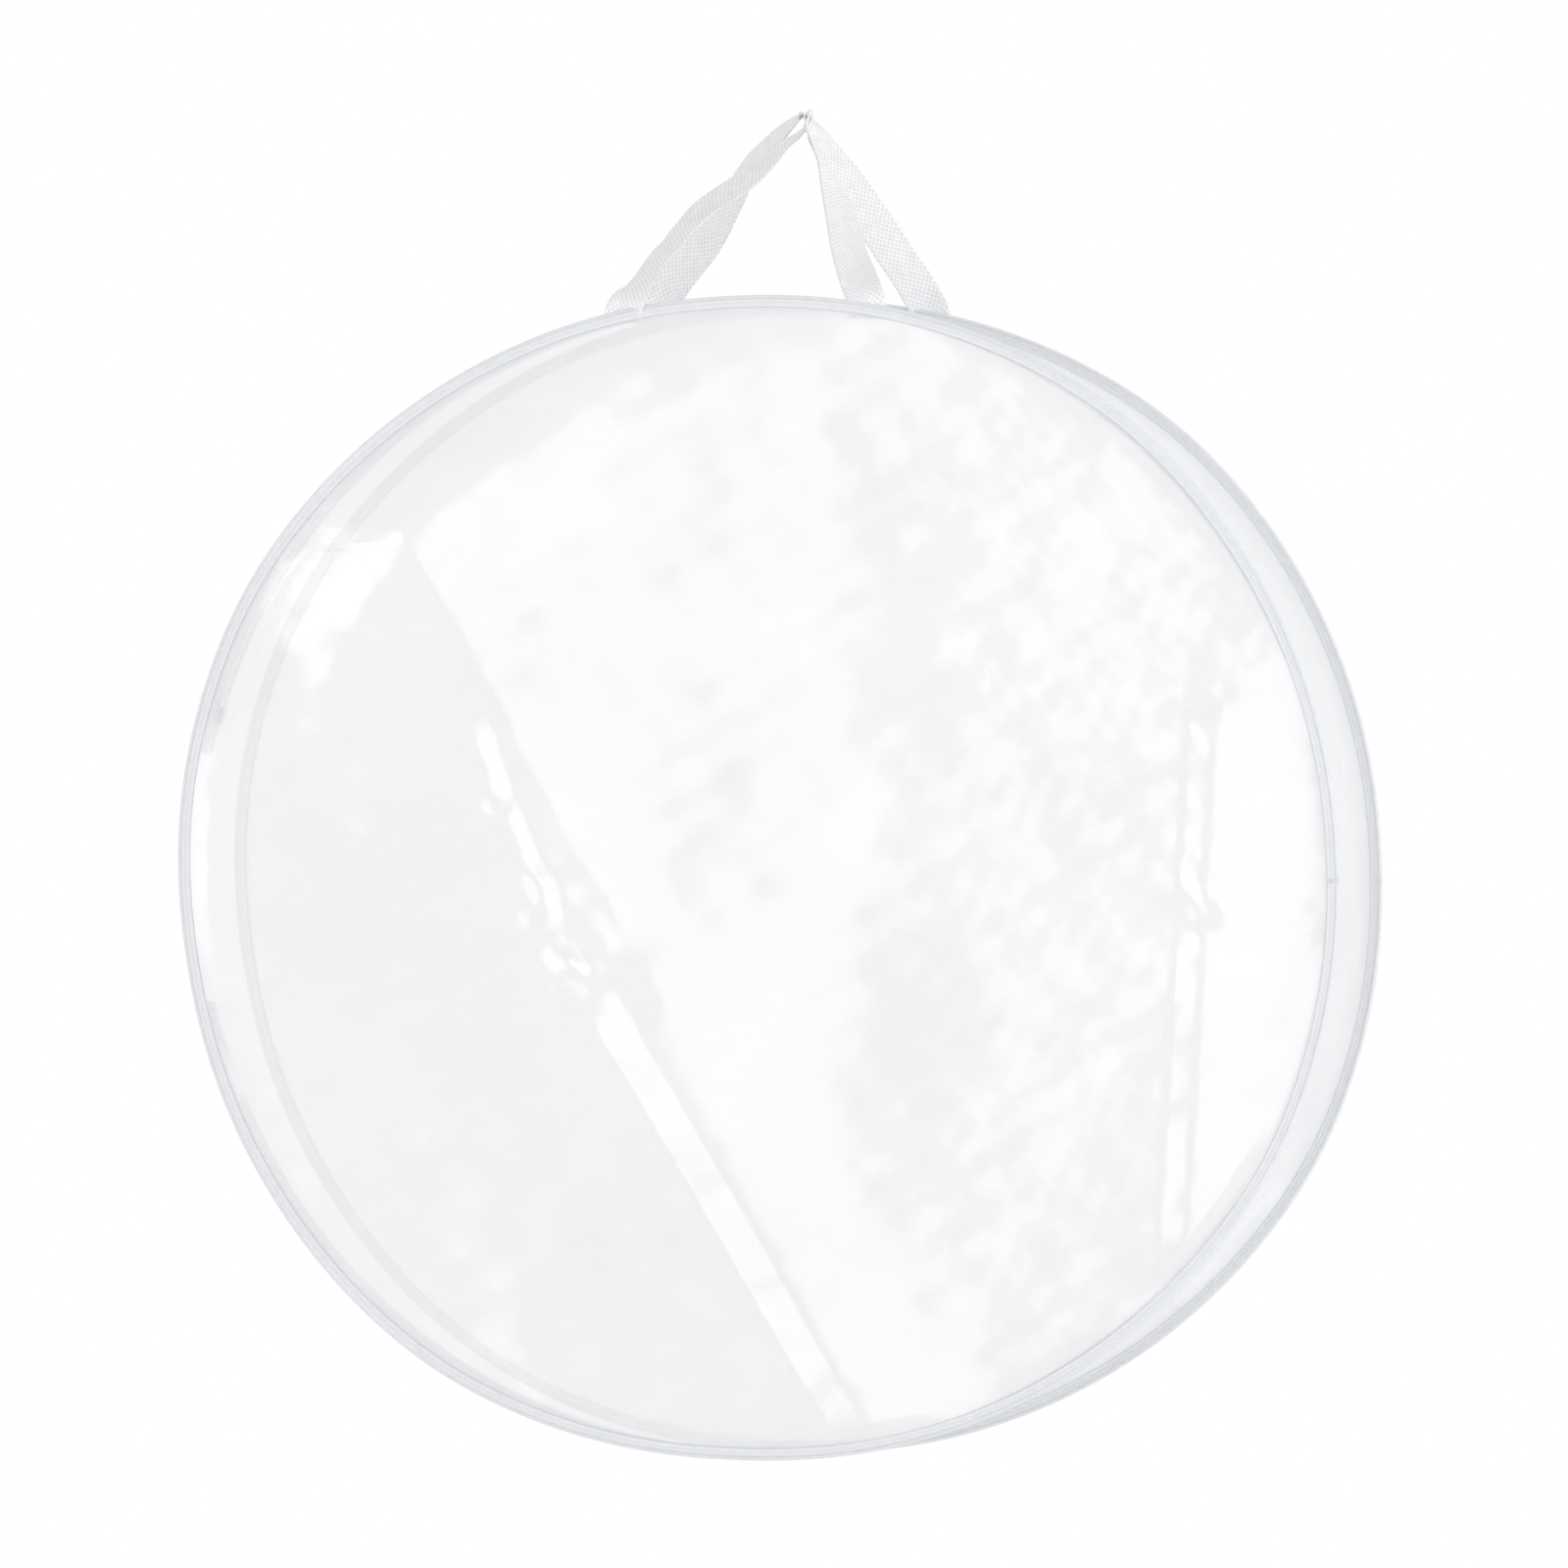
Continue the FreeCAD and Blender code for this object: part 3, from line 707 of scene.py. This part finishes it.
def smooth_route(stations, between):
    """Extra stations on a smooth curve through the given ones."""
    given = np.array(stations, float)
    padded = np.vstack((2 * given[0] - given[1], given, 2 * given[-1] - given[-2]))
    found = []
    for number in range(1, len(padded) - 2):
        before, here, there, after = padded[number - 1:number + 3]
        for part in range(between):
            share = part / between
            found.append(0.5 * (2 * here + (there - before) * share
                                + (2 * before - 5 * here + 4 * there - after) * share * share
                                + (3 * here - before - 3 * there + after) * share ** 3))
    found.append(given[-1])
    return np.array(found)


def webbing_section():
    """Across and thickness of flat webbing with thick woven edges, going round it once."""
    parts = 14
    half_width = WEBBING_WIDTH / 2
    half = WEBBING_THICKNESS / 2
    top = []
    for number in range(parts + 1):
        across = -1 + 2 * number / parts
        edge = 0.86 + 0.14 * abs(across) ** 6
        top.append((across * (half_width - half * 0.6), half * edge))
    right = [(half_width - half * 0.15, half * 0.5), (half_width, 0), (half_width - half * 0.15, -half * 0.5)]
    bottom = [(across, -height) for across, height in reversed(top)]
    left = [(-across, height) for across, height in reversed(right)]
    return top + right + bottom + left


def webbing(name, stations):
    """Webbing swept along a route. Its outer edge turns away from the viewer by each station's angle."""
    route = smooth_route(stations, 9)
    centre = mm(route[:, :3])
    turns = np.radians(route[:, 3])
    tangent = np.gradient(centre, axis=0)
    tangent /= np.linalg.norm(tangent, axis=1)[:, None]
    depth_axis = np.array((0.0, 1.0, 0.0))
    outer = np.cross(tangent, depth_axis)
    outer /= np.linalg.norm(outer, axis=1)[:, None]
    away = -np.cross(tangent, outer)
    across_axis = np.cos(turns)[:, None] * outer + np.sin(turns)[:, None] * away
    face_axis = np.cross(across_axis, tangent)
    section = webbing_section()
    run = np.concatenate(([0], np.cumsum(np.linalg.norm(np.diff(centre, axis=0), axis=1))))
    points = []
    strip = []
    for number in range(len(centre)):
        for across, height in section:
            dish = WEBBING_DISH * (1 - (2 * across / WEBBING_WIDTH) ** 2)
            points.append(centre[number] + across_axis[number] * across + face_axis[number] * (height + dish))
            strip.append((run[number], across + (OTHER_SIDE if height < 0 else 0)))
    corners = len(section)
    faces = grid_faces(len(centre), corners, close_columns=True)
    close_ends(faces, points, corners)
    return new_piece(name, points, faces, WEBBING_LOOK, strip)


def handles():
    """Both handles."""
    for name, route, rim, parent in (("front", FRONT_ROUTE, FRONT, "lid"), ("rear", REAR_ROUTE, BACK, "bag")):
        strap = webbing(f"{name}_webbing", route)
        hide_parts(f"{name}_handle", f"{name}_handle_tails")
        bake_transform(strap)


# ---------------------------------------------------------------- zip

TOOTH_PITCH = mm(2.1)


def zip_half(side, body, tape_section, coil_low, coil_high, stitch_place):
    """One zip tape with its row of nylon teeth and the stitching that holds it."""
    tape = swept_band(f"zip_tape_{side}_cloth", tape_section, ZIP_TAPE_LOOK, -CHAIN_END, CHAIN_END)
    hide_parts(f"zip_tape_{side}")

    tooth = pill(length=coil_high.y - coil_low.y, width=TOOTH_PITCH * 0.62, height=mm(1.9), sides=8,
                 squareness=2.0)
    count = round(2 * CHAIN_END * WALL_MIDDLE / TOOTH_PITCH)
    places = []
    for number in range(count):
        angle = -CHAIN_END + 2 * CHAIN_END * (number + 0.5) / count
        along = Vector((-math.sin(angle), 0, math.cos(angle)))
        outward = Vector((math.cos(angle), 0, math.sin(angle)))
        origin = on_disc(WALL_MIDDLE, angle, (coil_low.y + coil_high.y) / 2)
        places.append((origin, Vector((0, 1, 0)), along, outward))
    teeth = repeated(f"zip_teeth_{side}", tooth, places, TEETH_LOOK)
    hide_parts(f"zip_coil_{side}")

    rows = around(WALL, stitch_place, -CHAIN_END, CHAIN_END, STITCH_PITCH, "radial")
    stitches = repeated(f"zip_stitches_{side}", STITCH, rows, THREAD_LOOK)
    for piece in (tape, teeth, stitches):
        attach(piece, body)


def tape_patch(name, node, middle, half_angle, strips):
    """Short woven tapes on the outside of the wall, each with a row of stitches along both its edges."""
    inner = WALL + mm(0.1)
    outer = inner + CLOTH
    inset = mm(1.4)
    for number, (low, high) in enumerate(strips):
        section = band_section(inner, outer, low, high, CLOTH * 0.45)
        tape = swept_band(f"{name}_{number}", section, BINDING_LOOK, middle - half_angle,
                          middle + half_angle, mm(1.5))
        if number == 0:
            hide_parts(node)
        rows = []
        for place in (low + inset, high - inset):
            rows += around(outer, place, middle - half_angle * 0.93, middle + half_angle * 0.93,
                           STITCH_PITCH, "radial")
        stitches = repeated(f"{name}_stitches_{number}", STITCH, rows, THREAD_LOOK)
        for piece in (tape, stitches):
            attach(piece, "bag")


def zip_and_tapes():
    """Both halves of the zip, the tabs over its ends, and the tape over the side wall's seam."""
    lid_section = [
        (SEAM, lid_tape_low.y), (SEAM, lid_tape_low.y + CLOTH), (WALL, lid_tape_low.y + CLOTH),
        (WALL, lid_tape_high.y - mm(0.1)), (WALL - CLOTH / 2, lid_tape_high.y),
        (WALL - CLOTH, lid_tape_high.y - mm(0.1)), (WALL - CLOTH, lid_tape_low.y)]
    zip_half("lid", "lid", lid_section, lid_coil_low, lid_coil_high, lid_tape_low.y + mm(3.2))
    tape_outer = wall_tape_high.x
    wall_section = band_section(tape_outer - CLOTH, tape_outer, wall_tape_low.y, wall_tape_high.y, mm(0.2))
    zip_half("gusset", "bag", wall_section, wall_coil_low, wall_coil_high, WALL_FRONT + mm(2.0))

    upper_low, upper_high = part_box("zip_end_tab_upper")
    half_slit = mm(0.9)
    tab_strips = [(upper_low.y, CHAIN - half_slit), (CHAIN + half_slit, upper_high.y)]
    tab_middle = math.atan2((upper_low.z + upper_high.z) / 2 - CENTRE, (upper_low.x + upper_high.x) / 2)
    tab_half = (upper_high.z - upper_low.z) / 2 / (WALL * abs(math.cos(tab_middle)))
    for side, sign in (("upper", 1), ("lower", -1)):
        tape_patch(f"zip_tab_{side}", f"zip_end_tab_{side}", sign * tab_middle, tab_half, tab_strips)
    seam_half = (seam_tape_high.x - seam_tape_low.x) / 2 / WALL
    seam_strips = [(seam_tape_low.y, seam_tape_high.y)]
    tape_patch("seam_cover", "gusset_seam_tape", -math.pi / 2, seam_half, seam_strips)


def softened(node, body, radius):
    """A CAD casting with its edges rounded and enamelled."""
    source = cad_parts[node]
    mesh = source.data.copy()
    mesh.materials.clear()
    mesh.materials.append(ENAMEL_LOOK)
    shell = bmesh.new()
    shell.from_mesh(mesh)
    bmesh.ops.remove_doubles(shell, verts=shell.verts, dist=mm(0.01))
    bmesh.ops.dissolve_limit(shell, angle_limit=math.radians(2), verts=shell.verts, edges=shell.edges)
    sharp = [edge for edge in shell.edges if edge.calc_face_angle(0) > math.radians(30)]
    bmesh.ops.bevel(shell, geom=sharp, offset=radius, segments=3, profile=0.6, affect="EDGES")
    bmesh.ops.triangulate(shell, faces=shell.faces)
    shell.to_mesh(mesh)
    shell.free()
    mesh.polygons.foreach_set("use_smooth", [True] * len(mesh.polygons))
    mesh.set_sharp_from_angle(angle=math.radians(50))
    piece = bpy.data.objects.new(f"{node}_casting", mesh)
    link(piece)
    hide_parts(node)
    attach(piece, body)


# ---------------------------------------------------------------- studio

VIEW_ANGLE = math.radians(10.7)                  # the camera stands this far round to the right
VIEW_DISTANCE = 15.0
VIEW_WIDTH = 1.016                               # seen across the frame at the front rim
AIM = Vector((mm(18), FRONT, CENTRE + mm(61)))
FLOOR_DROP = 1.25                                # floor below the camera's level
FLOOR_RADIUS = 6.5
FLOOR_SIDES = 96
LEVEL_LIGHT = 1.31                               # the surroundings' strength from the side and below
UPPER_LIGHT = 0.8                                # and from straight above


def look_at(item, target):
    item.rotation_euler = (target - item.location).to_track_quat("-Z", "Y").to_euler()


def camera():
    data = bpy.data.cameras.new("camera")
    data.sensor_width = 36
    data.lens = data.sensor_width * VIEW_DISTANCE / VIEW_WIDTH
    data.clip_end = 200
    item = bpy.data.objects.new("camera", data)
    item.location = AIM + VIEW_DISTANCE * Vector((math.sin(VIEW_ANGLE), -math.cos(VIEW_ANGLE), 0))
    look_at(item, AIM)
    link(item)
    bpy.context.scene.camera = item


def soft_box(name, azimuth, elevation, distance, width, height, brightness):
    """A large soft light, aimed at the bag. Brightness is its power for its size.

    Azimuth is in degrees from the front towards the right, and elevation in degrees above level.
    """
    data = bpy.data.lights.new(name, "AREA")
    data.shape = "RECTANGLE"
    data.size = width
    data.size_y = height
    data.energy = brightness * math.pi * width * height
    item = bpy.data.objects.new(name, data)
    turn = math.radians(azimuth)
    rise = math.radians(elevation)
    direction = (math.sin(turn) * math.cos(rise), -math.cos(turn) * math.cos(rise), math.sin(rise))
    item.location = MIDDLE + distance * Vector(direction)
    look_at(item, MIDDLE)
    link(item)


def lights():
    soft_box("left_box", -34, -8, distance=3.6, width=0.95, height=2.6, brightness=1.7)
    soft_box("front_box", 0.5, 0, distance=20.0, width=6.6, height=12.0, brightness=1.15)
    soft_box("right_box", 66, 4, distance=3.6, width=1.8, height=2.4, brightness=2.4)
    soft_box("rear_box", 150, 60, distance=3.6, width=2.4, height=2.4, brightness=0.8)


def surroundings():
    """White behind everything, and even light from all round that is a little weaker from above."""
    sky = Shader(bpy.data.worlds.new("studio"))
    direction = sky.add("TexCoord").outputs["Generated"]
    upward = sky.add("SeparateXYZ", {0: direction}).outputs["Z"]
    strength = sky.spread(upward, 0.1, 1.0, LEVEL_LIGHT, UPPER_LIGHT)
    shining = sky.add("Background", {"Strength": strength})
    seen = sky.add("Background", {"Color": (1, 1, 1, 1)})
    by_camera = sky.add("LightPath").outputs["Is Camera Ray"]
    mixed = sky.add("MixShader", {0: by_camera, 1: shining.outputs[0], 2: seen.outputs[0]})
    bpy.context.scene.world = sky.finish(mixed.outputs[0], "OutputWorld")
    bpy.context.scene.view_settings.view_transform = "Standard"


def floor():
    points = [(0, 0, 0)]
    faces = []
    for side in range(FLOOR_SIDES):
        angle = math.tau * side / FLOOR_SIDES
        points.append((FLOOR_RADIUS * math.cos(angle), FLOOR_RADIUS * math.sin(angle), 0))
        faces.append((0, 1 + side, 1 + (side + 1) % FLOOR_SIDES))
    item = new_piece("floor", points, faces, floor_material(FLOOR_RADIUS))
    item.location = (0, MIDDLE.y, AIM.z - FLOOR_DROP)


disc_films()
wall_film()
bindings()
handles()
zip_and_tapes()
softened("zip_slider", "slider_body", mm(0.28))
softened("zip_pull", "pull_body", mm(0.3))
surroundings()
lights()
floor()
camera()
